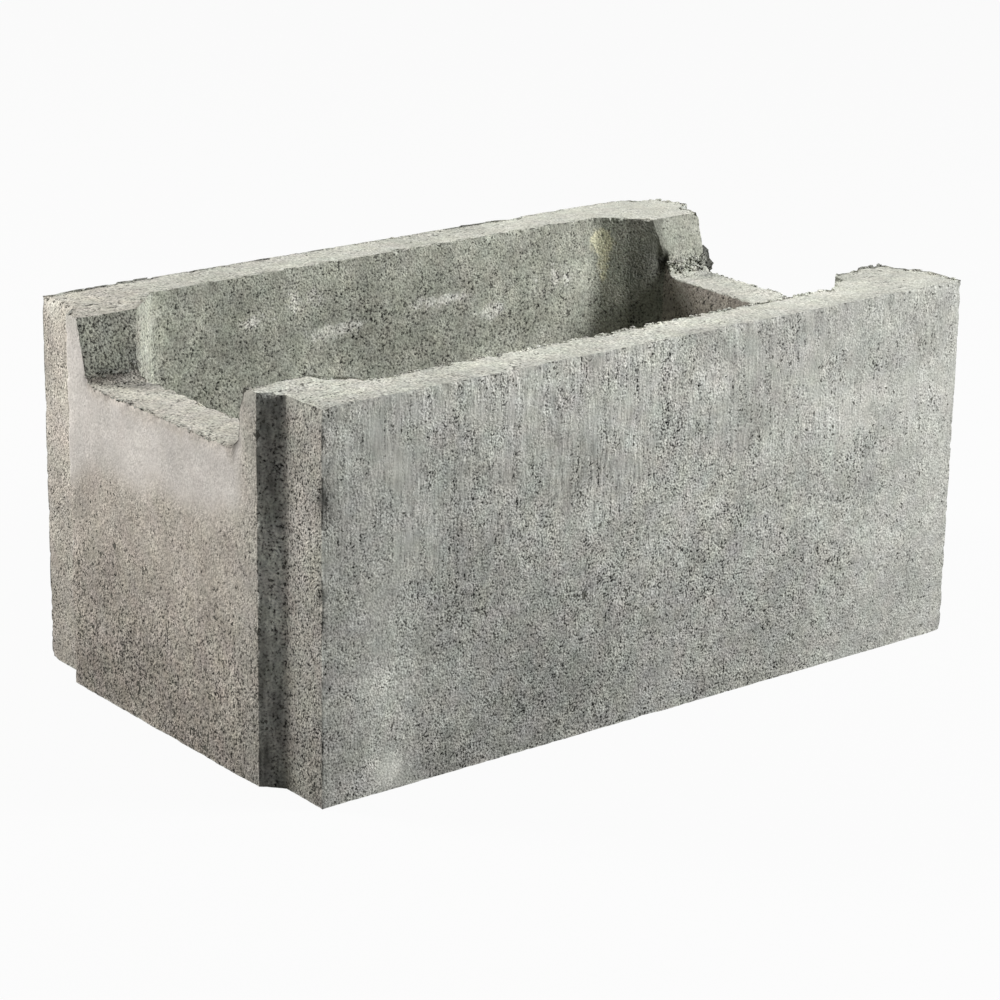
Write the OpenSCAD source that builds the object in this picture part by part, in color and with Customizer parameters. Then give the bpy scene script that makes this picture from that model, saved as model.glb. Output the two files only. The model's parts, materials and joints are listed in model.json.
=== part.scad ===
// Formwork block: a hollow concrete block that is laid dry in courses and then filled with concrete.
// Lengths are in millimetres. +X runs from the tongue end to the groove end, and +Z is up.
// The origin lies under the middle of the whole block, tongue included, on the bed that it stands on.

/* [Shells] */
// Length of the two face shells, without the tongue
shell_length = 500; // [300:10:600]
// Width over the outer faces of the shells
block_width = 300; // [240:5:400]
// Height of one course
block_height = 240; // [190:5:250]
// Thickness of a shell beside the core, at the top
shell_thickness = 33; // [25:1:45]

/* [Core] */
// Thickness of the web at the tongue end, tongue included
tongue_web = 37; // [30:1:60]
// Thickness of the web behind the groove
groove_web = 35; // [25:1:60]
// Reach of the 45 degree haunch in each corner of the core
haunch = 34; // [20:1:40]
// Radius where a haunch runs into a shell or a web
haunch_radius = 14; // [4:1:30]
// Draft of the core: what each wall gains in thickness from the top to the bottom
core_draft = 2; // [0.5:0.5:5]

/* [End key] */
// How far the tongue stands out of the shell ends
tongue_depth = 11.5; // [6:0.5:20]
// Width of each shell end beside the tongue
shoulder_width = 36; // [25:1:45]
// Slope of the flanks of tongue and groove, measured from the length of the block
key_angle = 45; // [20:1:60]
// Play of the tongue in the groove of the next block
key_clearance = 1; // [0.5:0.5:4]

/* [Web saddles] */
// Width of the saddles at the top, where their flanks run into the haunches
saddle_width = 180; // [140:2:200]
// Depth of the saddle in the top of each web
saddle_depth = 40; // [30:1:60]
// Lean of the saddle flanks, measured from upright
saddle_angle = 15; // [5:1:30]
// Radius of the bottom corners of a saddle
saddle_radius = 10; // [5:1:25]

/* [Hidden] */

// Straight steps in each rounded corner
arc_steps = 6;
// How far a cutter runs past the block
overcut = 5;
// Thickness of the end slices between which the core is lofted
loft_slice = 0.01;
concrete_grey = [0.67, 0.67, 0.63];

half_length = shell_length / 2;
half_width = block_width / 2;
groove_depth = tongue_depth + key_clearance;
tongue_half_width = half_width - shoulder_width;
groove_half_width = tongue_half_width + key_clearance;
core_half_width = half_width - shell_thickness;
core_start = tongue_web - tongue_depth - half_length;
core_end = half_length - groove_depth - groove_web;
saddle_half_width = saddle_width / 2;
// Puts the middle of shells and tongue together on the origin
centre_shift = tongue_depth / 2;

function unit(v) = v / norm(v);

function reversed(list) = [for (i = [len(list) - 1 : -1 : 0]) list[i]];

// The arc of radius r that rounds the corner at p, from the side of `before` to the side of `after`
function corner_arc(before, p, after, r) =
    let (
        to_before = unit(before - p),
        to_after = unit(after - p),
        half_angle = acos(to_before * to_after) / 2,
        reach = r / tan(half_angle),
        centre = p + unit(to_before + to_after) * r / sin(half_angle),
        spoke_a = p + to_before * reach - centre,
        spoke_b = p + to_after * reach - centre,
        sweep = 180 - 2 * half_angle
    )
    [for (i = [0 : arc_steps])
        let (turn = sweep * i / arc_steps)
        centre + (spoke_a * sin(sweep - turn) + spoke_b * sin(turn)) / sin(sweep)];

// A closed outline with every corner rounded
function rounded(points, r) =
    let (n = len(points))
    [for (i = [0 : n - 1]) each corner_arc(points[(i + n - 1) % n], points[i], points[(i + 1) % n], r)];

// Corners of a tongue or a groove, from -Y to +Y. Both reach towards -X from the shell ends at x.
function key(x, half_mouth, depth) =
    let (half_floor = half_mouth - depth * tan(key_angle))
    [[x, -half_mouth], [x - depth, -half_floor], [x - depth, half_floor], [x, half_mouth]];

// The core at height z: an oblong with a haunch across each corner, narrower towards the bed
function core_outline(z) =
    let (
        inset = core_draft * (1 - z / block_height),
        x0 = core_start + inset,
        x1 = core_end - inset,
        y = core_half_width - inset
    )
    [[x0 + haunch, -y], [x1 - haunch, -y], [x1, haunch - y], [x1, y - haunch],
     [x1 - haunch, y], [x0 + haunch, y], [x0, y - haunch], [x0, haunch - y]];

// Outer plan of the block: shells with the tongue at one end and the groove at the other
module block_plan()
    polygon(concat(
        [[-half_length, -half_width], [half_length, -half_width]],
        key(half_length, groove_half_width, groove_depth),
        [[half_length, half_width], [-half_length, half_width]],
        reversed(key(-half_length, tongue_half_width, tongue_depth))
    ));

// Tapered hollow between shells and webs, open at the top and at the bed
module core()
    hull()
        for (z = [-overcut, block_height + overcut])
            translate([0, 0, z])
                linear_extrude(loft_slice)
                    polygon(rounded(core_outline(z), haunch_radius));

// Section of a saddle across the block, with y = 0 at the top of the block
module saddle_section() {
    lean = tan(saddle_angle);
    top = [saddle_half_width + overcut * lean, overcut];
    floor_corner = [saddle_half_width - saddle_depth * lean, -saddle_depth];
    left_top = [-top.x, top.y];
    left_corner = [-floor_corner.x, floor_corner.y];
    polygon(concat(
        [top, left_top],
        corner_arc(left_top, left_corner, floor_corner, saddle_radius),
        corner_arc(left_corner, floor_corner, top, saddle_radius)
    ));
}

// One cut along the block that lowers the top of both webs
module saddles() {
    start = -half_length - tongue_depth - overcut;
    translate([start, 0, block_height])
        rotate([90, 0, 90])
            linear_extrude(half_length + overcut - start)
                saddle_section();
}

module formwork_block()
    color(concrete_grey)
        translate([centre_shift, 0, 0])
            difference() {
                linear_extrude(block_height) block_plan();
                core();
                saddles();
            }

formwork_block();
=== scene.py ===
import json
import math
import random
from typing import NamedTuple

import bmesh
import bpy
import numpy as np
from mathutils import Matrix, Vector, noise
from mathutils.bvhtree import BVHTree
from mathutils.kdtree import KDTree


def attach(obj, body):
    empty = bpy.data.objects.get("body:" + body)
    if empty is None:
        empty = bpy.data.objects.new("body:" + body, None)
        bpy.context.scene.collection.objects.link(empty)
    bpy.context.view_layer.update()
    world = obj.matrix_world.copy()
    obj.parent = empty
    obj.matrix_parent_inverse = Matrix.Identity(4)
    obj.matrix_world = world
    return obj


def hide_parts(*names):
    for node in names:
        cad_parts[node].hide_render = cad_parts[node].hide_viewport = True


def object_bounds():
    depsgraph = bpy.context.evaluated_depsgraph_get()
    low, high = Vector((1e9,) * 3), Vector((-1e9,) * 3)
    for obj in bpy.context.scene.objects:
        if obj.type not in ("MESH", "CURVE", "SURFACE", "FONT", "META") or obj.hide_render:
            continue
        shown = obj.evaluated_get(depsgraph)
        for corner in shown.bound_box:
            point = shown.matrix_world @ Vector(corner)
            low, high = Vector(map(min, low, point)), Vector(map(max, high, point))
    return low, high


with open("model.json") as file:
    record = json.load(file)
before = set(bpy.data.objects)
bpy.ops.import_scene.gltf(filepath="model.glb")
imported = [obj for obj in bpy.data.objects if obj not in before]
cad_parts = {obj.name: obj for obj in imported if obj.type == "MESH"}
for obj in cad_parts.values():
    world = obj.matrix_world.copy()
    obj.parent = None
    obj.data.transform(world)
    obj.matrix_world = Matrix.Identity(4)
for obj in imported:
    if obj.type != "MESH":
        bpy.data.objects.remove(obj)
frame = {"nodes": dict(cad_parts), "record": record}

bl_info = {
    "name": "Formwork block",
    "version": (1, 0, 0),
    "blender": (4, 5, 0),
    "location": "View3D > Sidebar > Block",
    "description": "Weathers the casting of a formwork block and sets it in a plain studio",
    "category": "Object",
}

MM = 0.001
NODE = "formwork_block"
CONCRETE = "weathered_concrete"
CAD_LOW, CAD_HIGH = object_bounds()
MOUNTS = {mount["name"]: Vector(mount["pos_m"]) for mount in frame["record"]["mounts"]}
OPENINGS = {
    opening["name"]: [Vector(corner) for corner in opening["box_m"]]
    for opening in frame["record"]["physics"]["openings"]}
CORE_LOW, CORE_HIGH = OPENINGS["core"]

# Planes of the casting that the wear is placed by
FRONT, BACK, TOP = CAD_LOW.y, CAD_HIGH.y, CAD_HIGH.z
TONGUE_FACE = CAD_LOW.x
SADDLE_FLOOR = MOUNTS["tongue_saddle"].z
# How far past its stated opening the walls of the core are looked for, at the webs and at the shells
WEB_REACH = 46 * MM
SHELL_REACH = 4 * MM
# Half the width of a saddle at the top, and a little more
FLANK_REACH = 91 * MM
# How near a vertex on a plane lies to it, and one on the tongue to the tongue's face
ON_PLANE = 1 * MM
ON_TONGUE = 3 * MM


class BlockRelief(bpy.types.PropertyGroup):
    """Sizes of the relief that the mould, the stripping and the handling left in the concrete"""

    cell: bpy.props.FloatProperty(
        name="Cell", description="Mesh cell in the middle of a face",
        default=5.0 * MM, unit="LENGTH", precision=4)
    fine_band: bpy.props.FloatProperty(
        name="Fine band", description="How far from an arris the cells are cut finer",
        default=6.0 * MM, unit="LENGTH", precision=4)
    arris_wear: bpy.props.FloatProperty(
        name="Arris wear", description="How far a worn arris falls back from the sharp corner",
        default=0.45 * MM, unit="LENGTH", precision=4)
    crumble: bpy.props.FloatProperty(
        name="Crumble", description="Depth of the small bites along the arrises",
        default=1.6 * MM, unit="LENGTH", precision=4)
    chip: bpy.props.FloatProperty(
        name="Chips", description="Depth of the larger chips along the arrises",
        default=2.4 * MM, unit="LENGTH", precision=4)
    waviness: bpy.props.FloatProperty(
        name="Waviness", description="Height of the long waves of the faces",
        default=0.25 * MM, unit="LENGTH", precision=4)
    top_fall: bpy.props.FloatProperty(
        name="Top fall", description="How far the top settled below the crumbs along its edges",
        default=1.1 * MM, unit="LENGTH", precision=4)


class BlockColours(bpy.types.PropertyGroup):
    """Colours of the concrete"""

    paste: bpy.props.FloatVectorProperty(
        name="Paste", description="Grey of the struck faces", subtype="COLOR",
        default=(0.447, 0.45, 0.412))
    laitance: bpy.props.FloatVectorProperty(
        name="Laitance", description="Pale cream skin of the top", subtype="COLOR",
        default=(0.583, 0.586, 0.523))
    warm_grey: bpy.props.FloatVectorProperty(
        name="Warm grey", description="Warm grey of the tongue end", subtype="COLOR",
        default=(0.515, 0.475, 0.42))
    smear: bpy.props.FloatVectorProperty(
        name="Smear", description="Lilac grey of the smoothed top of the tongue", subtype="COLOR",
        default=(0.492, 0.469, 0.443))
    stain: bpy.props.FloatVectorProperty(
        name="Stain", description="Yellowish run down the core", subtype="COLOR",
        default=(0.72, 0.69, 0.50))
    lime: bpy.props.FloatVectorProperty(
        name="Lime", description="Whitish bloom in patches", subtype="COLOR",
        default=(0.68, 0.68, 0.62))
    core: bpy.props.FloatVectorProperty(
        name="Core", description="Greenish grey of the core walls", subtype="COLOR",
        default=(0.39, 0.397, 0.34))
    pit: bpy.props.FloatVectorProperty(
        name="Pits", description="Shade in the bottom of the pits", subtype="COLOR",
        default=(0.10, 0.10, 0.085))


class StudioSettings(bpy.types.PropertyGroup):
    """Camera and light"""

    azimuth: bpy.props.FloatProperty(
        name="Azimuth", description="Direction of the camera round the block",
        default=math.radians(-38.46), subtype="ANGLE")
    elevation: bpy.props.FloatProperty(
        name="Elevation", description="Height of the camera as an angle",
        default=math.radians(18.22), subtype="ANGLE")
    roll: bpy.props.FloatProperty(
        name="Roll", description="Turn of the camera about its axis",
        default=math.radians(0.94), subtype="ANGLE")
    distance: bpy.props.FloatProperty(
        name="Distance", description="From the camera to its aim", default=2.090, subtype="DISTANCE")
    aim: bpy.props.FloatVectorProperty(
        name="Aim", description="Point on the axis of the camera",
        default=(0.0188, 0.0228, 0.0897), subtype="XYZ")
    lens: bpy.props.FloatProperty(
        name="Lens", description="Focal length in millimetres, on a 36 mm sensor", default=115.7)
    key_power: bpy.props.FloatProperty(
        name="Key", description="Power of the lamp behind the tongue end, in watts", default=62.0)
    fill_power: bpy.props.FloatProperty(
        name="Fill", description="Power of the lamp before the groove end, in watts", default=43.0)
    ambient: bpy.props.FloatProperty(
        name="Ambient", description="Strength of the even light all round", default=0.07)


# Mesh of the casting, cut into cells

# Vertices closer than this are one, and faces that turn less than this are one face
MERGE = 1e-5
FLAT = math.radians(0.3)
# An outward edge that turns more than this is an arris
SHARP = math.radians(20)
# How many times the edges of the cells along an arris are cut
FINE_CUTS = 2


def arris_levels(bm, axis, gap):
    """Where the corners of the casting lie along an axis, leaving out those closer than gap to the last"""
    levels = []
    for value in sorted(v.co[axis] for v in bm.verts):
        if not levels or value - levels[-1] > gap:
            levels.append(value)
    return levels


def slice_along(bm, axis, stations):
    """Cut the faces on planes across one axis, from low to high, each plane only those that it meets"""
    normal = Vector((0, 0, 0))
    normal[axis] = 1
    tolerance = 1e-6

    def low(face):
        return min(v.co[axis] for v in face.verts)

    def high(face):
        return max(v.co[axis] for v in face.verts)

    waiting = sorted(((low(face), face.index, face) for face in bm.faces), reverse=True)
    met = set()
    for station in stations:
        while waiting and waiting[-1][0] < station - tolerance:
            met.add(waiting.pop()[2])
        met = {face for face in met if high(face) > station + tolerance}
        edges = {edge for face in met for edge in face.edges}
        verts = {vert for face in met for vert in face.verts}
        cut = bmesh.ops.bisect_plane(
            bm, geom=[*verts, *edges, *met], dist=tolerance, plane_co=normal * station, plane_no=normal)
        cut_edges = [edge for edge in cut["geom_cut"] if isinstance(edge, bmesh.types.BMEdge)]
        met |= {face for edge in cut_edges for face in edge.link_faces}


def arris_distance(bm):
    """How far each vertex lies from the nearest arris, and how upright that arris is"""
    sharp = [edge for edge in bm.edges if edge.is_convex and edge.calc_face_angle(0) > SHARP]
    tree = KDTree(len(sharp) * 2)
    for number, edge in enumerate(sharp):
        for vert in edge.verts:
            tree.insert(vert.co, number)
    tree.balance()
    upright = [abs((edge.verts[0].co - edge.verts[1].co).normalized().z) for edge in sharp]
    found = [tree.find(vert.co) for vert in bm.verts]
    distances = [distance for _, _, distance in found]
    return np.array(distances), np.array([upright[number] for _, number, _ in found])


def cell_mesh(relief):
    """A copy of the casting, merged and cut into cells that are finer along the arrises"""
    bm = bmesh.new()
    bm.from_mesh(frame["nodes"][NODE].data)
    bmesh.ops.remove_doubles(bm, verts=bm.verts[:], dist=MERGE)
    bmesh.ops.dissolve_limit(bm, angle_limit=FLAT, verts=bm.verts[:], edges=bm.edges[:])
    for axis in range(3):
        levels = arris_levels(bm, axis, relief.cell / 2)
        stations = []
        for start, end in zip(levels, levels[1:]):
            steps = max(1, round((end - start) / relief.cell))
            stations += [start + (end - start) * i / steps for i in range(steps)]
        slice_along(bm, axis, stations[1:])
    bm.verts.index_update()
    near = arris_distance(bm)[0] < relief.fine_band
    edges = [edge for edge in bm.edges if all(near[vert.index] for vert in edge.verts)]
    bmesh.ops.subdivide_edges(bm, edges=edges, cuts=FINE_CUTS, use_grid_fill=True, use_single_edge=True)
    bm.normal_update()
    bm.verts.index_update()
    return bm


# Fields over the surface

# Noise: size of its features in millimetres, octaves, seed
NOISES = {
    "cloud": (60, 3, 3.1),
    "ragged": (9, 3, 5.7),
    "tone": (80, 3, 8.4),
    "core": (22, 3, 7.7),
    "scraped": (4, 2, 6.1),
    "bites": (7, 3, 9.2),
    "chips": (32, 3, 4.4),
    "chip_rim": (5, 2, 2.6),
    "waves": (45, 2, 1.3),
    "lumps": (10, 2, 6.6),
}
# Ramps: axis, where they start and where they are full, in millimetres
RAMPS = {
    "to_bed": ("z", 160, 0),
    "upper_part": ("z", 80, 200),
    "front_foot": ("z", 100, 0),
    "tongue_body": ("z", 50, 120),
    "tongue_head": ("z", 100, 190),
    "shoulder_head": ("z", -20, 220),
    "front_by_tongue": ("x", -140, -200),
    "top_by_tongue": ("x", -150, -210),
    "top_by_groove": ("x", 0, 200),
    "near_top_by_groove": ("x", 100, 200),
    "smear_side": ("y", -93, -77),
    "warm_side": ("y", -112, -60),
    "far_side": ("y", 0, 90),
}
# Share of a normal that points some way, from where a vertex begins to count as on such a face to fully
FACING_UP = (0.45, 0.75)
FACING_SIDE = (0.5, 0.8)
FACING_END = (0.75, 0.95)
FACING_FLANK = (0.35, 0.8)
FACING_KEY_FLANK = 0.4


def smooth_step(value, low, high):
    """0 at low, 1 at high, and a smooth rise between"""
    t = np.clip((value - low) / (high - low), 0, 1)
    return t * t * (3 - 2 * t)


def fractal(places, name):
    """Cloud noise about zero"""
    size, octaves, seed = NOISES[name]
    shift = Vector((seed, 1.7 * seed, 2.3 * seed))
    fall, lacunarity = 1.0, 2.0
    return np.array([
        noise.fractal(Vector(p) / (size * MM) + shift, fall, lacunarity, octaves) for p in places])


def ramp(places, name):
    """0 before a ramp starts, 1 where it is full"""
    axis, start, full = RAMPS[name]
    return smooth_step(places[:, "xyz".index(axis)], start * MM, full * MM)


def spot(places, centre, reach):
    """1 at the centre, fading out at that reach along each axis, in millimetres"""
    return np.exp(-(((places - np.array(centre) * MM) / (np.array(reach) * MM)) ** 2).sum(1))


class Casting:
    """The vertices of the casting as arrays, with what each lies on"""

    def __init__(self, bm):
        self.place = np.array([v.co for v in bm.verts])
        self.out = np.array([v.normal for v in bm.verts])
        self.arris, self.arris_upright = arris_distance(bm)
        self.cloud = fractal(self.place, "cloud")
        self.ragged = fractal(self.place, "ragged")
        x, y, z = self.place.T
        out_x, out_y, out_z = self.out.T
        tongue_end = x < CORE_LOW.x - WEB_REACH
        over_webs = (x < CORE_LOW.x) | (x > CORE_HIGH.x)
        on_top = z > TOP - ON_PLANE
        inside = (
            (x > CORE_LOW.x - WEB_REACH) & (x < CORE_HIGH.x + WEB_REACH)
            & (np.abs(y) < CORE_HIGH.y + SHELL_REACH))
        up = smooth_step(out_z, *FACING_UP)
        endwards = np.maximum(-out_x, 0) * (x < 0) + np.maximum(out_x, 0) * (x > 0)
        self.top = up * on_top
        self.saddle = up * ~on_top
        self.core = inside * (1 - up) * (1 - smooth_step(endwards, *FACING_SIDE))
        self.end = smooth_step(-out_x, *FACING_END) * tongue_end
        self.tongue = self.end * (x < TONGUE_FACE + ON_TONGUE)
        self.flank = (
            (np.abs(y) < FLANK_REACH) * (z > SADDLE_FLOOR + ON_PLANE) * over_webs
            * smooth_step(np.abs(out_y), *FACING_FLANK))
        self.front = smooth_step(-out_y, *FACING_SIDE) * (y < FRONT + ON_PLANE)
        self.back = smooth_step(out_y, *FACING_SIDE) * (y > BACK - ON_PLANE)
        self.key_flank = (out_x < -FACING_KEY_FLANK) * (np.abs(out_y) > FACING_KEY_FLANK) * tongue_end


# Patches of the surface, in millimetres: centre, reach along each axis, how much
FRONT_TONES = (
    ((-198, -150, 20), (22, 20, 45), 0.24),
    ((-200, -150, 95), (18, 20, 50), 0.16),
    ((-117, -150, 92), (75, 20, 34), -0.16),
    ((-101, -150, 30), (60, 20, 22), -0.10),
    ((-130, -150, 228), (70, 20, 16), 0.18),
    ((205, -150, 218), (70, 20, 34), -0.18),
    ((-242, -150, 190), (18, 20, 24), -0.18),
    ((-242, -150, 92), (16, 20, 22), -0.16),
    ((60, -150, 95), (60, 20, 40), -0.06),
)
# Finish of the front: above zero it is smoothed, below zero it is rough
FRONT_FINISH = (
    ((-195, -150, 13), (13, 20, 13), 1.0),
    ((-204, -150, 110), (13, 20, 40), 0.6),
    ((-119, -150, 214), (22, 20, 9), 0.6),
    ((-52, -150, 202), (22, 20, 9), 0.6),
    ((-191, -150, 194), (12, 20, 16), 0.6),
    ((108, -150, 223), (9, 20, 8), -1.0),
    ((145, -150, 201), (10, 20, 8), -0.8),
    ((189, -150, 193), (12, 20, 8), -0.8),
    ((180, -150, 147), (12, 20, 10), -0.8),
    ((166, -150, 133), (9, 20, 7), -0.7),
    ((-1, -150, 168), (8, 20, 8), -0.8),
    ((-10, -150, 215), (8, 20, 8), -0.8),
    ((221, -150, 204), (7, 20, 6), -0.8),
    ((-155, -150, 212), (14, 20, 6), -0.8),
    ((-189, -150, 217), (6, 20, 8), -0.8),
    ((-162, -150, 171), (14, 20, 12), -0.5),
)
CORE_TONES = (
    ((-33, 118, 177), (45, 20, 9), -0.16),
    ((66, 118, 168), (45, 20, 12), -0.14),
    ((150, 118, 205), (30, 30, 40), 0.12),
)
LIME = (
    ((41, 118, 200), (22, 20, 5), 1.0),
    ((82, 118, 186), (13, 20, 7), 1.0),
    ((-49, 118, 193), (27, 20, 6), 1.0),
    ((-70, 118, 216), (34, 20, 12), 0.45),
    ((-110, 118, 208), (20, 20, 5), 0.4),
    ((140, 118, 205), (22, 20, 16), 0.4),
    ((-196, -150, 12), (14, 20, 13), 0.62),
    ((-198, -150, 60), (13, 20, 50), 0.3),
)
HONEYCOMB = (
    ((-236, 80, 207), (26, 14, 13), 1.0),
    ((-222, 84, 216), (12, 10, 10), 0.7),
    ((228, 82, 206), (28, 12, 7), 0.6),
    ((-250, -82, 206), (8, 6, 10), 0.6),
)
# Painted shade: darker patches in the chip cavity on a haunch edge, in the crack at the near corner of the
# tongue and in the honeycomb at the foot of the far flank
PAINTED_SHADE_SPOTS = (
    ((206, 84, 209), (3.5, 4, 6), -0.5),
    ((-256, -79, 201), (6, 1.6, 7), -0.55),
    ((-240, 80, 202), (16, 5, 4), -0.35),
)
CORE_STAIN = (
    ((176, 118, 223), (7, 25, 8), 1.0),
    ((178, 118, 205), (4, 25, 16), 0.6),
)
# Chips, where the amount is their depth in millimetres
CHIPS = (
    ((-244, -150, 239), (7, 6, 5), 2.6),
    ((-244, -150, 186), (4, 4, 9), 2.2),
    ((-244, -150, 128), (3, 3, 6), 1.6),
    ((-256, -83, 207), (6, 4, 8), 1.8),
    ((-244, 150, 0), (4, 5, 4), 1.0),
    ((256, -150, 0), (4, 5, 4), 1.2),
    ((256, 150, 240), (26, 22, 10), 4.0),
    ((-244, 134, 240), (5, 22, 5), 0.8),
    ((-246, -120, 240), (8, 32, 6), 2.4),
    ((206, 84, 209), (5, 6, 8), 4.5),
)


def patches(places, table):
    """All patches of a table together"""
    return sum(amount * spot(places, centre, reach) for centre, reach, amount in table)


# Smear on the tongue: height of its foot, how that falls to the far side and waves, and how it fades
SMEAR_FOOT = 155 * MM
SMEAR_FALL = 0.13
SMEAR_HALF_WIDTH = 100 * MM
SMEAR_WAVE = 12 * MM
SMEAR_FADE = (-13 * MM, 11 * MM)
# Edge of the tongue under its saddle, where part of the smear has worn off
LIP_BAND = (SADDLE_FLOOR - 10 * MM, SADDLE_FLOOR - 1 * MM)
LIP_WAVE = 6 * MM
LIP_HALF_WIDTH = 80 * MM
LIP_LOSS = 0.6
# Rolled edge along the top of the tongue end, weaker on the far side
ROLLED_BAND = (TOP - 15 * MM, TOP - 3 * MM)
ROLLED_WAVE = 5 * MM
ROLLED_FAR = 0.5
# Pale middle of the slanted flanks of the tongue, and how their scrapes are drawn out upright
KEY_MIDDLE = 125 * MM
KEY_MIDDLE_REACH = 45 * MM
SCRAPE_SCALE = (1, 1, 0.12)


def tongue_zones(casting):
    """Zones of the tongue end: the tongue, the shoulders beside it and its slanted flanks"""
    p = casting.place
    _, y, z = p.T
    tongue, key_flank = casting.tongue, casting.key_flank
    to_bed = ramp(p, "to_bed")
    foot = SMEAR_FOOT - SMEAR_FALL * np.clip(y, -SMEAR_HALF_WIDTH, SMEAR_HALF_WIDTH)
    foot += SMEAR_WAVE * casting.cloud
    smear = tongue * smooth_step(z - foot, *SMEAR_FADE) * ramp(p, "smear_side")
    lip = tongue * smooth_step(z + LIP_WAVE * casting.ragged, *LIP_BAND)
    smear *= 1 - LIP_LOSS * lip * (np.abs(y) < LIP_HALF_WIDTH)
    rolled = casting.end * smooth_step(z + ROLLED_WAVE * casting.ragged, *ROLLED_BAND)
    shoulder = casting.end - tongue
    far_shoulder = shoulder * (y > 0)
    near_shoulder = shoulder * (y < 0)
    return {
        "smear": smear,
        "end_foot": casting.end * to_bed,
        "rolled_edge": rolled * np.where(y > 0, ROLLED_FAR, 1),
        "tongue": tongue,
        "tongue_smear": tongue * smear,
        "tongue_foot": tongue * to_bed,
        "tongue_body": tongue * ramp(p, "tongue_body"),
        "tongue_head": tongue * ramp(p, "tongue_head"),
        "tongue_pillar": tongue * (y < 0) * (z > SADDLE_FLOOR),
        "tongue_warm_side": tongue * ramp(p, "warm_side"),
        "tongue_far_side": tongue * ramp(p, "far_side") * (1 - smear),
        "far_shoulder": far_shoulder,
        "far_shoulder_head": far_shoulder * ramp(p, "shoulder_head"),
        "near_shoulder": near_shoulder,
        "near_shoulder_foot": near_shoulder * to_bed,
        "key_flank": key_flank,
        "key_flank_foot": key_flank * to_bed,
        "key_flank_middle": key_flank * np.exp(-(((z - KEY_MIDDLE) / KEY_MIDDLE_REACH) ** 2)),
        "key_flank_scrapes": key_flank * fractal(p * SCRAPE_SCALE, "scraped"),
    }


# Clean part of the front, towards the groove and the top, which painted light also makes lighter: how its
# edge leans, at which height, and how it fades in
CLEAN_LEAN = 0.5
CLEAN_LEVEL = 120 * MM
CLEAN_FADE = (0.0, 240 * MM)


def face_zones(casting):
    """Zones of the front and the back"""
    p = casting.place
    x, _, z = p.T
    front = casting.front
    return {
        "front": front,
        "front_clean_and_lit": front * smooth_step(x + CLEAN_LEAN * (z - CLEAN_LEVEL), *CLEAN_FADE),
        "front_foot": front * ramp(p, "front_foot"),
        "front_by_tongue": front * ramp(p, "front_by_tongue"),
        "front_tones": front * patches(p, FRONT_TONES),
        "front_finish": front * patches(p, FRONT_FINISH),
        "back": casting.back,
    }


# Bare strip of the near top along the front, and where the tops begin to be open at the groove end
FRONT_STRIP = (FRONT + 2 * MM, FRONT + 20 * MM)
FRONT_STRIP_WAVE = 3 * MM
TOP_GROOVE_END = 210 * MM


def top_zones(casting):
    """Zones of the tops of the shells and of the two web saddles"""
    p = casting.place
    x, y, _ = p.T
    top = casting.top
    near_top = top * (y < 0)
    far_top = top * (y > 0)
    tongue_saddle = casting.saddle * (x < 0)
    by_tongue = ramp(p, "top_by_tongue")
    return {
        "top": top,
        "top_by_tongue": top * by_tongue,
        "top_by_groove": top * ramp(p, "top_by_groove"),
        "top_groove_end": top * (x > TOP_GROOVE_END),
        "near_top": near_top,
        "near_top_inner": near_top * smooth_step(y + FRONT_STRIP_WAVE * casting.ragged, *FRONT_STRIP),
        "near_top_by_groove": near_top * ramp(p, "near_top_by_groove"),
        "far_top": far_top,
        "far_top_by_tongue": far_top * by_tongue,
        "far_top_metres_along": far_top * x,
        "tongue_saddle": tongue_saddle,
        "tongue_saddle_metres_across": tongue_saddle * y,
        "groove_saddle": casting.saddle * (x > 0),
    }


# Where the core walls are smoother, where the shaded groove web begins, and how its face is told
CORE_SMOOTH_START = 120 * MM
GROOVE_WEB_START = 190 * MM
FACING_TONGUE = -0.9
# How far a haunch on the far side turns towards the groove to be the lit one
LIT_HAUNCH = (0.4, 0.8)


def core_zones(casting):
    """Zones of the core walls and of the flanks over the two webs"""
    p = casting.place
    x, y, _ = p.T
    out_x = casting.out[:, 0]
    core, flank = casting.core, casting.flank
    return {
        "core": core,
        "core_smooth": core * (x > CORE_SMOOTH_START),
        "core_groove_web": core * (x > GROOVE_WEB_START),
        "core_facing_tongue": core * (out_x < FACING_TONGUE),
        "core_lit_haunch": core * smooth_step(out_x * (y > 0), *LIT_HAUNCH),
        "core_cloud": core * fractal(p, "core"),
        "core_tones": core * patches(p, CORE_TONES),
        "tongue_flank": flank * (x < 0),
        "groove_flank": flank * (x > 0),
        "honeycomb": np.clip(patches(p, HONEYCOMB) * (flank + casting.saddle + core), 0, 1),
    }


def wear_zones(casting):
    """All zones of the casting by name, and the fields that run over the whole of it"""
    p = casting.place
    return {
        "all": np.ones(len(p)),
        "upper_part": ramp(p, "upper_part"),
        "cloud": casting.cloud,
        "tone_cloud": fractal(p, "tone"),
        "painted_shade_spots": patches(p, PAINTED_SHADE_SPOTS),
        **tongue_zones(casting),
        **face_zones(casting),
        **top_zones(casting),
        **core_zones(casting),
    }


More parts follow.
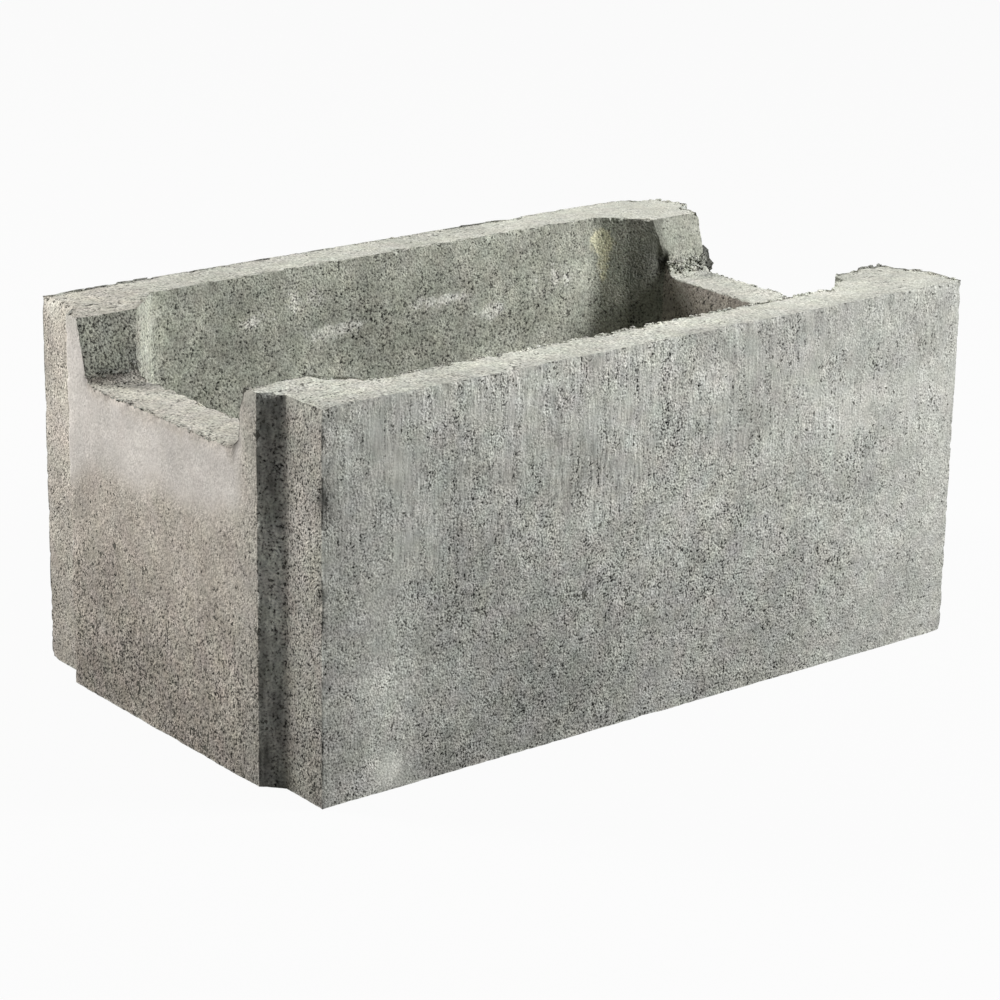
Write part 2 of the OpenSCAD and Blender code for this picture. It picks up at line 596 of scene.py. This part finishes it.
# How much each zone gives to a mask
SMOOTH_SKIN = {
    "smear": 1.0, "tongue_body": 0.45, "far_shoulder": 0.3, "rolled_edge": 0.4, "key_flank": 0.1,
    "front_clean_and_lit": 0.5, "front_by_tongue": 0.2, "front_finish": 0.6, "back": 0.15,
    "top": 0.5, "top_by_tongue": -0.15, "top_by_groove": 0.2, "tongue_saddle": 0.38, "groove_saddle": 0.55,
    "core": 0.22, "core_smooth": 0.15, "groove_flank": 0.5, "honeycomb": -0.8,
}
TOP_SKIN = {
    "near_top": 0.45, "near_top_inner": 0.55, "far_top": 1.0, "far_top_by_tongue": -0.5,
    "tongue_saddle": 0.55, "groove_saddle": 0.95, "rolled_edge": 0.7, "honeycomb": -0.5,
}
OPEN_TEXTURE = {
    "all": 0.25, "cloud": 0.5,
    "smear": -0.6, "end_foot": 0.5, "far_shoulder": 0.2, "near_shoulder": 0.45, "key_flank": 0.2,
    "front_finish": -0.5, "top_by_tongue": 0.2, "top_groove_end": 0.2,
    "core_groove_web": 0.3, "tongue_flank": 0.65, "honeycomb": 1.0,
}
WARM_GREY = {
    "tongue": 0.5, "tongue_warm_side": 0.5, "far_shoulder": 0.8, "near_shoulder": 0.45,
    "far_top_by_tongue": 1.0, "tongue_saddle": 0.9,
}
# Share of each zone in the tone, which holds the concrete's own tone and also painted light and shade, as
# marked below
TONE = {
    "all": 1.0, "tone_cloud": 0.12, "painted_shade_spots": 1.0,
    # Painted light and shade on the tongue end: lighter towards the top and darker towards the bed
    "tongue": 0.04, "tongue_smear": 0.31, "tongue_foot": -0.32, "tongue_head": 0.12,
    "tongue_pillar": -0.15, "tongue_far_side": -0.06, "rolled_edge": -0.16,
    "far_shoulder": -0.12, "far_shoulder_head": 0.42, "near_shoulder": 0.06, "near_shoulder_foot": -0.3,
    # Painted shade: the slanted flanks of the tongue are painted darker
    "key_flank": -0.3, "key_flank_foot": -0.1, "key_flank_middle": 0.5, "key_flank_scrapes": 0.5,
    # Painted light and shade on the front: lighter towards the groove end and the top, darker towards the
    # bed
    "front": -0.08, "front_clean_and_lit": 0.16, "front_foot": -0.1, "front_tones": 1.0, "front_finish": 0.06,
    # Painted light: the far top is painted lighter towards the groove end
    "near_top_by_groove": -0.06, "far_top": -0.06, "far_top_by_tongue": 0.06, "far_top_metres_along": 0.4,
    "tongue_saddle": -0.03, "tongue_saddle_metres_across": -0.5, "groove_saddle": -0.02,
    # Painted shade inside the core, darkest on the groove web, and painted light on the far haunch that
    # faces the fill lamp
    "core": -0.03, "core_groove_web": -0.38, "core_lit_haunch": 0.3, "core_cloud": 0.2, "core_tones": 1.0,
    "tongue_flank": -0.18, "groove_flank": -0.08, "honeycomb": -0.22,
}
FACE_DRAG = {"front": 1.0, "front_clean_and_lit": -0.45, "back": 1.0}
DRAG_REACH = {"all": 0.1, "upper_part": 0.9, "cloud": 0.6}
COARSE_VOIDS = {"honeycomb": 1.0, "tongue_flank": 0.3}
# Drag marks on the tongue where it has no skin, and on its slanted flanks
TONGUE_DRAG = 0.35
KEY_FLANK_DRAG = 0.65


def weighted(zones, shares):
    """The zones of a table added up in their shares"""
    return sum(share * zones[name] for name, share in shares.items())


def wear_masks(casting):
    """What the concrete is like at each vertex, as the material reads it"""
    p = casting.place
    zones = wear_zones(casting)
    skin = np.clip(weighted(zones, SMOOTH_SKIN), 0, 1)
    face_drag = weighted(zones, FACE_DRAG) * np.clip(weighted(zones, DRAG_REACH), 0, 1)
    end_drag = TONGUE_DRAG * casting.tongue * (1 - skin) + KEY_FLANK_DRAG * casting.key_flank
    return {
        "top_skin": np.clip(weighted(zones, TOP_SKIN), 0, 1),
        "smear": zones["smear"],
        "warm_grey": np.maximum(weighted(zones, WARM_GREY), zones["core_facing_tongue"]),
        "core_wall": np.clip(casting.core + casting.flank, 0, 1),
        "smooth_skin": skin,
        "open_texture": np.clip(weighted(zones, OPEN_TEXTURE), 0, 1),
        "drag_marks": np.maximum(face_drag, end_drag),
        # The tone holds painted light and shade besides the concrete's own tone
        "tone": weighted(zones, TONE),
        "honeycomb": weighted(zones, COARSE_VOIDS),
        "lime": np.clip(patches(p, LIME), 0, 1) * (casting.core + casting.front),
        "stain": np.clip(patches(p, CORE_STAIN), 0, 1) * casting.core,
    }


def chip_moves(casting):
    """How far the chips move each vertex, each chip inwards in one direction"""
    moves = np.zeros_like(casting.place)
    for centre, reach, amount in CHIPS:
        share = spot(casting.place, centre, reach)
        outward = (casting.out * share[:, None]).sum(0)
        moves -= np.outer(share * amount * MM, outward / np.linalg.norm(outward))
    return moves


# How far from an arris it is rounded, bitten and chipped
ROUNDED_WIDTH = 1.2 * MM
BITTEN_WIDTH = 2.4 * MM
CHIPPED_WIDTH = 4.0 * MM
# From which noise on an arris is bitten or chipped, and where it is so fully
BITE_RANGE = (0.0, 0.6)
CHIP_RANGE = (0.32, 0.75)
CHIP_RIM = 0.7
# Edges of the saddles and inner edges of the tops, which are more brittle
EDGE_BAND = 4 * MM
INNER_EDGE_REACH = 10 * MM
SADDLE_EDGE_BRITTLE = 0.9
INNER_EDGE_BRITTLE = 1.6
# Upright arrises and those along the bed, which kept their shape better
BED_BAND = 12 * MM
BED_CALM = 1.3
CALM_SHARE = 0.65
# How far the surface lies inside the solid, and how high the lumps on saddles and tops are
STRUCK_DEPTH = 0.4 * MM
SADDLE_LUMPS = 0.72 * MM
TOP_LUMPS = 0.32 * MM


def beside_arris(casting, width):
    """1 on an arris, fading out over that width"""
    return np.exp(-((casting.arris / width) ** 2))


def worn_places(casting, relief):
    """Where each vertex lies once the arrises have crumbled and the top has settled"""
    p = casting.place
    _, y, z = p.T
    bites = smooth_step(fractal(p, "bites"), *BITE_RANGE)
    chips = smooth_step(fractal(p, "chips"), *CHIP_RANGE)
    saddle_edge = np.abs(z - SADDLE_FLOOR) < EDGE_BAND
    inner_edge = (z > TOP - EDGE_BAND) & (np.abs(y) < CORE_HIGH.y + INNER_EDGE_REACH)
    brittle = 1 + SADDLE_EDGE_BRITTLE * saddle_edge + INNER_EDGE_BRITTLE * inner_edge
    wear = relief.arris_wear * beside_arris(casting, ROUNDED_WIDTH)
    wear += relief.crumble * brittle * bites * beside_arris(casting, BITTEN_WIDTH)
    wear += relief.chip * chips * beside_arris(casting, CHIPPED_WIDTH)
    calm = np.maximum(casting.arris_upright, BED_CALM * (z < BED_BAND))
    lumps = SADDLE_LUMPS * casting.saddle + TOP_LUMPS * casting.top
    depth = STRUCK_DEPTH + relief.waviness * fractal(p, "waves")
    depth += (1 - CALM_SHARE * calm) * wear + lumps * fractal(p, "lumps")
    rim = 1 + CHIP_RIM * fractal(p, "chip_rim")
    worn = p - casting.out * depth[:, None] + chip_moves(casting) * rim[:, None]
    worn[:, 2] -= relief.top_fall * (z > TOP - ON_PLANE)
    return np.clip(worn, CAD_LOW, CAD_HIGH)


# Material

# Sockets of a colour mix, which are told by number because their names repeat
MIX_FACTOR, MIX_FIRST, MIX_SECOND, MIX_RESULT = 0, 6, 7, 2
# Sizes of the patches that are warmer or cooler, and greener or pinker
WARM_PATCH = 12 * MM
GREEN_PATCH = 17 * MM
# How fast a hollow grows with its chance, and where its rim and its lip rise, in shares of the spacing
HOLLOW_GROWTH = 12.0
HOLLOW_RIM = (0.0, 0.12)
HOLLOW_LIP = (-0.18, -0.05)


class Mixer:
    """Short calls for the shader nodes of one material or world"""

    def __init__(self, owner):
        owner.use_nodes = True
        self.nodes, self.links = owner.node_tree.nodes, owner.node_tree.links
        self.nodes.clear()

    def add(self, kind, inputs=(), **settings):
        """A new node with its settings, and with each input linked or set"""
        node = self.nodes.new("ShaderNode" + kind)
        for name, value in settings.items():
            setattr(node, name, value)
        for name, value in dict(inputs).items():
            if isinstance(value, bpy.types.NodeSocket):
                self.links.new(value, node.inputs[name])
            else:
                node.inputs[name].default_value = value
        return node

    def attribute(self, name):
        """A mask of the piece"""
        return self.add("Attribute", attribute_name=name).outputs["Fac"]

    def stretched(self, vector, along):
        """The same places with patterns drawn out along the height"""
        return self.add("Mapping", {"Vector": vector, "Scale": (1, 1, 1 / along)}).outputs[0]

    def noise(self, vector, size, detail=2.0, roughness=0.5):
        """Noise about zero with features of that size"""
        node = self.add(
            "TexNoise", {"Vector": vector, "Scale": 1 / size, "Detail": detail, "Roughness": roughness})
        return self.math("SUBTRACT", node.outputs[0], 0.5)

    def math(self, operation, first, second, third=0.0):
        """One operation on two or three values"""
        return self.add("Math", {0: first, 1: second, 2: third}, operation=operation).outputs[0]

    def total(self, start, *terms):
        """A starting value with each field added in its share"""
        for field, share in terms:
            start = self.math("MULTIPLY_ADD", field, share, start)
        return start

    def step(self, value, low, high, start=0.0, end=1.0):
        """A smooth change from start to end while the value goes from low to high"""
        return self.add("MapRange", {
            "Value": value, "From Min": low, "From Max": high, "To Min": start, "To Max": end,
        }, interpolation_type="SMOOTHSTEP").outputs[0]

    def blend(self, factor, first, second):
        """The first colour, turning into the second with the factor"""
        inputs = {MIX_FACTOR: factor, MIX_FIRST: first, MIX_SECOND: second}
        return self.add("Mix", inputs, data_type="RGBA").outputs[MIX_RESULT]

    def scaled(self, colour, value):
        """The colour times a value"""
        return self.add("VectorMath", {0: colour, "Scale": value}, operation="SCALE").outputs[0]

    def tinted(self, colour, vector, strength):
        """The colour with soft patches that are warmer, cooler, greener and pinker"""
        warm = self.math("MULTIPLY", self.noise(vector, WARM_PATCH, detail=3.0), strength)
        green = self.math("MULTIPLY", self.noise(vector, GREEN_PATCH, detail=3.0), strength)
        tint = self.add("CombineXYZ", {
            0: self.total(1.0, (warm, 1.0), (green, -0.5)), 1: self.total(1.0, (green, 1.0)),
            2: self.total(1.0, (warm, -1.0), (green, -0.5))}).outputs[0]
        return self.add("VectorMath", {0: colour, 1: tint}, operation="MULTIPLY").outputs[0]

    def hollows(self, vector, spacing, widest, share, rim, raggedness):
        """Hollows at random places with a ragged rim, and the same with the lip round them

        The share is how many places have one.
        """
        cells = self.add("TexVoronoi", {"Vector": vector, "Scale": 1 / spacing})
        chance = self.add("SeparateColor", {0: cells.outputs["Color"]}).outputs[0]
        radius = self.math("MULTIPLY", self.math("SUBTRACT", share, chance), HOLLOW_GROWTH)
        radius = self.math("MINIMUM", radius, widest)
        inward = self.math("SUBTRACT", radius, cells.outputs["Distance"])
        inward = self.total(inward, (rim, raggedness))
        return self.step(inward, *HOLLOW_RIM), self.step(inward, *HOLLOW_LIP)


def concrete_material(colours):
    """Vibropressed concrete: paste with grain, pits, drag marks and a paler skin"""
    material = bpy.data.materials.new(CONCRETE)
    m = Mixer(material)
    place = m.add("TexCoord").outputs["Object"]
    skin, opened = m.attribute("smooth_skin"), m.attribute("open_texture")
    drag, tone = m.attribute("drag_marks"), m.attribute("tone")

    fine = m.noise(place, 1.4 * MM, detail=1.0)
    medium = m.noise(place, 3.6 * MM, detail=2.0, roughness=0.6)
    mottle = m.noise(place, 14 * MM, detail=3.0, roughness=0.6)
    cloud = m.noise(place, 42 * MM, detail=3.0)
    short_streak = m.noise(m.stretched(place, 7), 1.9 * MM, detail=1.0)
    long_streak = m.noise(m.stretched(place, 14), 4.5 * MM, detail=3.0, roughness=0.65)

    smeared = m.step(m.total(long_streak, (drag, 0.2)), 0.06, 0.24)
    smeared = m.math("MULTIPLY", smeared, drag)
    still = m.math("MULTIPLY", mottle, m.total(1.0, (skin, -0.7)))
    rough = m.total(1.0, (still, 1.6), (skin, -0.75), (smeared, -0.5))
    rough = m.math("MAXIMUM", rough, 0.15)
    grain = m.math("MULTIPLY", m.total(fine, (medium, 0.55)), rough)
    streak = m.math("MULTIPLY", m.math("MULTIPLY", short_streak, drag), m.total(1.0, (skin, -0.6)))
    specks = m.step(m.total(grain, (opened, 0.06)), 0.10, 0.22)

    share = m.total(0.015, (opened, 0.2), (still, 0.45), (skin, -0.09), (smeared, -0.05))
    pits, pit_lip_highlights = m.hollows(
        place, spacing=2.5 * MM, widest=0.45, share=share, rim=fine, raggedness=1.4)
    void_share = m.total(m.math("MULTIPLY", share, 0.42), (m.attribute("honeycomb"), 0.2))
    voids, void_lip_highlights = m.hollows(
        place, spacing=7.5 * MM, widest=0.25, share=void_share, rim=medium, raggedness=2.2)
    hollow = m.math("MAXIMUM", pits, voids)
    lip = m.math("SUBTRACT", m.math("MAXIMUM", pit_lip_highlights, void_lip_highlights), hollow)

    # Painted highlight: the lip round each hollow is painted lighter
    value = m.total(
        1.02, (grain, -2.5), (specks, -0.32), (still, 0.65), (cloud, 0.7), (streak, 1.3), (smeared, 0.06),
        (lip, 0.14))
    value = m.math("MULTIPLY", value, tone)
    bloom = m.attribute("lime")
    lime = m.step(m.total(bloom, (mottle, 1.1), (medium, 1.2)), 0.3, 0.7, 0.0, 0.9)
    lime = m.math("MULTIPLY", lime, m.math("MINIMUM", m.math("MULTIPLY", bloom, 5.0), 1.0))
    stain = m.step(m.total(m.attribute("stain"), (medium, 0.8)), 0.25, 0.6, 0.0, 0.9)
    colour = m.blend(m.attribute("core_wall"), (*colours.paste, 1), (*colours.core, 1))
    colour = m.blend(m.attribute("warm_grey"), colour, (*colours.warm_grey, 1))
    colour = m.blend(m.attribute("smear"), colour, (*colours.smear, 1))
    colour = m.blend(lime, colour, (*colours.lime, 1))
    colour = m.blend(stain, colour, (*colours.stain, 1))
    colour = m.blend(m.attribute("top_skin"), colour, (*colours.laitance, 1))
    tint = m.total(0.09, (m.attribute("top_skin"), 0.01), (skin, -0.07))
    colour = m.scaled(m.tinted(colour, place, tint), value)
    colour = m.blend(m.math("MULTIPLY", hollow, 0.85), colour, (*colours.pit, 1))

    height = m.total(0.0, (grain, -1.0), (streak, 0.4), (hollow, -0.5))
    bump = m.add("Bump", {"Height": height, "Strength": 1.0, "Distance": 1.1 * MM})
    shader = m.add("BsdfPrincipled", {
        "Base Color": colour, "Roughness": 0.92, "Specular IOR Level": 0.1, "Normal": bump.outputs[0]})
    m.add("OutputMaterial", {"Surface": shader.outputs[0]})
    return material


# Pieces

# Faces that meet at a wider angle than this are shaded with a crease between them
CREASE = math.radians(40)


def finish_piece(name, bm, masks):
    """Make an object of the mesh, with its masks and the concrete"""
    mesh = bpy.data.meshes.new(name)
    bm.to_mesh(mesh)
    bm.free()
    for mask, values in masks.items():
        mesh.attributes.new(mask, "FLOAT", "POINT").data.foreach_set("value", np.float32(values))
    mesh.shade_smooth()
    mesh.set_sharp_from_angle(angle=CREASE)
    concrete = bpy.data.materials.get(CONCRETE) or concrete_material(bpy.context.scene.block_colours)
    mesh.materials.append(concrete)
    piece = bpy.data.objects.new(name, mesh)
    bpy.context.scene.collection.objects.link(piece)
    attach(piece, "root")
    return piece


class BLOCK_OT_concrete(bpy.types.Operator):
    """Turn the plain casting into weathered concrete"""

    bl_idname = "block.concrete"
    bl_label = "Weathered concrete"

    def execute(self, context):
        relief = context.scene.block_relief
        bm = cell_mesh(relief)
        casting = Casting(bm)
        masks = wear_masks(casting)
        for vert, place in zip(bm.verts, worn_places(casting, relief)):
            vert.co = place
        block = finish_piece("concrete_block", bm, masks)
        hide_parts(NODE)
        return {"FINISHED"}


class CrumbLine(NamedTuple):
    """Crumbs along a line, in millimetres

    Least and greatest are their radius, and spread is how far they stray from the line. Stretch is how long
    they are along it, and proud is how far they stand out of the surface, both in shares of the radius.
    """

    start: tuple
    end: tuple
    count: int
    least: float
    greatest: float
    spread: float
    stretch: float
    tone: float
    proud: float = 0.0


# Groups of slivers along the back edge, in millimetres: from, to, how many
SLIVER_GROUPS = (
    (-221, -200, 4),
    (-193, -178, 3),
    (-173, -158, 3),
    (-133, -118, 3),
    (-86, -78, 2),
    (-45, -29, 4),
    (62, 115, 12),
)
CRUMB_LINES = (
    # Inner edge of the near shell
    CrumbLine((-176, -117.2, 238.4), (0, -117.2, 238.4), 70, 0.6, 1.4, 1.0, 1.6, 1.0),
    CrumbLine((-20, -117.0, 238.6), (172, -117.0, 238.6), 95, 0.7, 1.5, 1.0, 2.4, 0.95, 0.2),
    # Slivers and crumbs along the back edge
    *(CrumbLine((start, 148.4, 238.8), (end, 148.4, 238.8), count, 0.7, 1.1, 0.5, 8.0, 0.45)
      for start, end, count in SLIVER_GROUPS),
    CrumbLine((-225, 147.5, 238.4), (215, 147.5, 238.4), 50, 0.5, 1.2, 1.4, 1.8, 0.95),
    # Far shell's end and near shell's end over the groove
    CrumbLine((251, 120, 237.6), (254, 146, 236.6), 14, 0.8, 1.7, 1.2, 1.5, 0.9),
    CrumbLine((222, -90, 238.6), (240, -90, 238.6), 14, 1.0, 2.2, 1.2, 1.8, 0.5, 0.15),
    CrumbLine((252, -96, 238.2), (254, -146, 238.4), 18, 0.7, 1.5, 1.2, 1.8, 0.9),
    # Outer edges of the two web saddles
    CrumbLine((-254, -68, 199.0), (-254, 72, 199.0), 40, 0.6, 1.5, 1.2, 1.6, 0.9),
    CrumbLine((241, -68, 199.0), (242, 72, 199.0), 44, 0.6, 1.6, 1.2, 1.8, 0.9),
    # Honeycomb at the feet of the far flanks, and the burr at the end of one
    CrumbLine((-250, 80, 203), (-216, 82, 206), 22, 0.8, 2.0, 3.0, 1.4, 0.45),
    CrumbLine((211, 81, 205), (242, 81, 206), 70, 0.8, 2.3, 4.2, 1.4, 0.85, 0.3),
    CrumbLine((238, 81, 204), (243, 84, 210), 14, 1.4, 2.8, 1.4, 1.3, 0.6, 0.6),
    CrumbLine((245, 81, 203), (245, 86, 211), 22, 2.4, 4.8, 1.2, 1.3, 0.18, 0.6),
    # Near flank of the tongue end
    CrumbLine((-253, -82, 216), (-220, -86, 236), 16, 0.6, 1.4, 1.0, 1.4, 0.95),
)
CRUMB_SEED = 7
# Corners of the solid that a crumb is made from
CRUMB_CORNERS = 12
# Width and height of a crumb in shares of its radius, and how far it turns out of its line
CRUMB_WIDTH = (0.7, 1.1)
CRUMB_HEIGHT = 0.6
CRUMB_TURN = 0.4
# Size and depth of the dents in the crumbs
DENT_SIZE = 1.5 * MM
DENT_DEPTH = 0.4 * MM
# How the tone of the crumbs in a line varies, and their other masks
CRUMB_TONES = (0.8, 1.1)
CRUMB_TOP_SKIN = 0.6
CRUMB_OPEN_TEXTURE = 0.2


def crumb_place(chance, line, surface):
    """Radius of the next crumb of a line, and the matrix that sets it on the surface"""
    start, end = Vector(line.start) * MM, Vector(line.end) * MM
    along = (end - start).to_track_quat("X", "Z").to_matrix().to_4x4()
    place = start.lerp(end, chance.random())
    place += Vector([chance.uniform(-1, 1) * line.spread * MM for _ in range(3)])
    place, out, _, _ = surface.find_nearest(place)
    radius = chance.uniform(line.least, line.greatest) * MM
    place += out * radius * line.proud
    length = chance.uniform(CRUMB_WIDTH[0], line.stretch)
    width = chance.uniform(*CRUMB_WIDTH)
    stretch = Matrix.Diagonal((length, width, CRUMB_HEIGHT, 1))
    turn = Matrix.Rotation(chance.gauss(0, CRUMB_TURN) / line.stretch, 4, "Z")
    return radius, Matrix.Translation(place) @ along @ turn @ stretch


class BLOCK_OT_crumbs(bpy.types.Operator):
    """Leave crumbs of concrete clinging along the edges"""

    bl_idname = "block.crumbs"
    bl_label = "Crumbs along the edges"

    def execute(self, context):
        chance = random.Random(CRUMB_SEED)
        noise.seed_set(CRUMB_SEED)
        block = bpy.data.objects["concrete_block"].data
        surface = BVHTree.FromPolygons([v.co for v in block.vertices], [f.vertices for f in block.polygons])
        bm = bmesh.new()
        tones = []
        for line in CRUMB_LINES:
            for _ in range(line.count):
                radius, matrix = crumb_place(chance, line, surface)
                bmesh.ops.create_icosphere(bm, subdivisions=1, radius=radius, matrix=matrix)
                tones.append(line.tone * chance.uniform(*CRUMB_TONES))
        for vert in bm.verts:
            vert.co += noise.noise_vector(vert.co / DENT_SIZE) * DENT_DEPTH
            vert.co = [min(max(c, low), high) for c, low, high in zip(vert.co, CAD_LOW, CAD_HIGH)]
        count = len(bm.verts)
        masks = {
            "top_skin": np.full(count, CRUMB_TOP_SKIN),
            "open_texture": np.full(count, CRUMB_OPEN_TEXTURE),
            "tone": np.repeat(tones, CRUMB_CORNERS),
        }
        finish_piece("edge_crumbs", bm, masks)
        return {"FINISHED"}


# Studio

class Lamp(NamedTuple):
    """A round lamp: its direction from the block in degrees, distance and width in metres, and colour"""

    name: str
    azimuth: float
    elevation: float
    distance: float
    width: float
    colour: tuple


KEY = Lamp("key", -139, 32, 2.6, 0.9, (1.0, 0.98, 0.95))
FILL = Lamp("fill", 47, 34, 2.0, 0.8, (1.0, 1.0, 1.0))
WHITE = (1, 1, 1, 1)
FLOOR_GREY = (0.4, 0.4, 0.4, 1)
# How much of the floor is plain white to the camera, and half its width
FLOOR_WHITE = 0.95
FLOOR_REACH = 6.0
SENSOR_WIDTH = 36.0
FARTHEST_SEEN = 20.0


def facing(azimuth, elevation, roll=0.0):
    """Turn of a camera or lamp that looks back at the block from that direction, and the direction"""
    level = math.cos(elevation)
    away = Vector((math.sin(azimuth) * level, -math.cos(azimuth) * level, math.sin(elevation)))
    right = Vector((math.cos(azimuth), math.sin(azimuth), 0))
    up = away.cross(right)
    turned_right = right * math.cos(roll) + up * math.sin(roll)
    turned_up = up * math.cos(roll) - right * math.sin(roll)
    return Matrix((turned_right, turned_up, away)).transposed().to_4x4(), away


def add_lamp(lamp, power):
    """Set up a lamp, facing the block"""
    light = bpy.data.lights.new(lamp.name, "AREA")
    light.shape = "DISK"
    light.size = lamp.width
    light.energy = power
    light.color = lamp.colour
    obj = bpy.data.objects.new(lamp.name, light)
    turn, away = facing(math.radians(lamp.azimuth), math.radians(lamp.elevation))
    obj.matrix_world = Matrix.Translation(away * lamp.distance) @ turn
    bpy.context.scene.collection.objects.link(obj)


def background_rays(m):
    """1 for rays from the camera and for reflections, which see the background white"""
    path = m.add("LightPath")
    seen = path.outputs["Is Camera Ray"]
    for ray in ("Is Glossy Ray", "Is Transmission Ray"):
        seen = m.math("MAXIMUM", seen, path.outputs[ray])
    return seen


def studio_world(ambient):
    """Even light all round, white where the camera looks at it"""
    world = bpy.data.worlds.new("studio")
    m = Mixer(world)
    strength = m.add("MapRange", {"Value": background_rays(m), "To Min": ambient})
    background = m.add("Background", {"Color": WHITE, "Strength": strength.outputs["Result"]})
    m.add("OutputWorld", {"Surface": background.outputs["Background"]})
    return world


def floor_material():
    """Pale floor that keeps the shadow of the block, and is near white to the camera"""
    material = bpy.data.materials.new("floor")
    m = Mixer(material)
    diffuse = m.add("BsdfDiffuse", {"Color": FLOOR_GREY})
    white = m.add("Emission", {"Color": WHITE, "Strength": 1.0})
    share = m.math("MULTIPLY", background_rays(m), FLOOR_WHITE)
    mixed = m.add("MixShader", {0: share, 1: diffuse.outputs[0], 2: white.outputs[0]})
    m.add("OutputMaterial", {"Surface": mixed.outputs[0]})
    return material


class BLOCK_OT_studio(bpy.types.Operator):
    """Set the floor, the light and the camera"""

    bl_idname = "block.studio"
    bl_label = "Studio"

    def execute(self, context):
        scene = context.scene
        studio = scene.block_studio
        scene.view_settings.view_transform = "Standard"
        scene.world = studio_world(studio.ambient)

        bm = bmesh.new()
        bmesh.ops.create_grid(bm, x_segments=1, y_segments=1, size=FLOOR_REACH)
        mesh = bpy.data.meshes.new("floor")
        bm.to_mesh(mesh)
        bm.free()
        mesh.materials.append(floor_material())
        floor = bpy.data.objects.new("floor", mesh)
        scene.collection.objects.link(floor)

        add_lamp(KEY, studio.key_power)
        add_lamp(FILL, studio.fill_power)

        camera = bpy.data.cameras.new("camera")
        camera.lens = studio.lens
        camera.sensor_width = SENSOR_WIDTH
        camera.clip_end = FARTHEST_SEEN
        obj = bpy.data.objects.new("camera", camera)
        turn, away = facing(studio.azimuth, studio.elevation, studio.roll)
        obj.matrix_world = Matrix.Translation(Vector(studio.aim) + away * studio.distance) @ turn
        scene.collection.objects.link(obj)
        scene.camera = obj
        return {"FINISHED"}


class BLOCK_PT_panel(bpy.types.Panel):
    """Lists the sizes, the colours and the steps"""

    bl_idname = "BLOCK_PT_panel"
    bl_label = "Formwork block"
    bl_space_type = "VIEW_3D"
    bl_region_type = "UI"
    bl_category = "Block"

    def draw(self, context):
        for group in (context.scene.block_relief, context.scene.block_colours, context.scene.block_studio):
            box = self.layout.box()
            for name in group.__annotations__:
                box.prop(group, name)
        for operator in (BLOCK_OT_concrete, BLOCK_OT_crumbs, BLOCK_OT_studio):
            self.layout.operator(operator.bl_idname)


CLASSES = (
    BlockRelief, BlockColours, StudioSettings, BLOCK_OT_concrete, BLOCK_OT_crumbs, BLOCK_OT_studio,
    BLOCK_PT_panel)
SETTINGS = {"block_relief": BlockRelief, "block_colours": BlockColours, "block_studio": StudioSettings}


def register():
    """Add the classes and the settings"""
    for cls in CLASSES:
        bpy.utils.register_class(cls)
    for name, cls in SETTINGS.items():
        setattr(bpy.types.Scene, name, bpy.props.PointerProperty(type=cls))


def unregister():
    """Take them away again"""
    for name in SETTINGS:
        delattr(bpy.types.Scene, name)
    for cls in reversed(CLASSES):
        bpy.utils.unregister_class(cls)


def main():
    """Make the block and its studio"""
    register()
    bpy.ops.block.concrete()
    bpy.ops.block.crumbs()
    bpy.ops.block.studio()


if __name__ == "__main__":
    main()
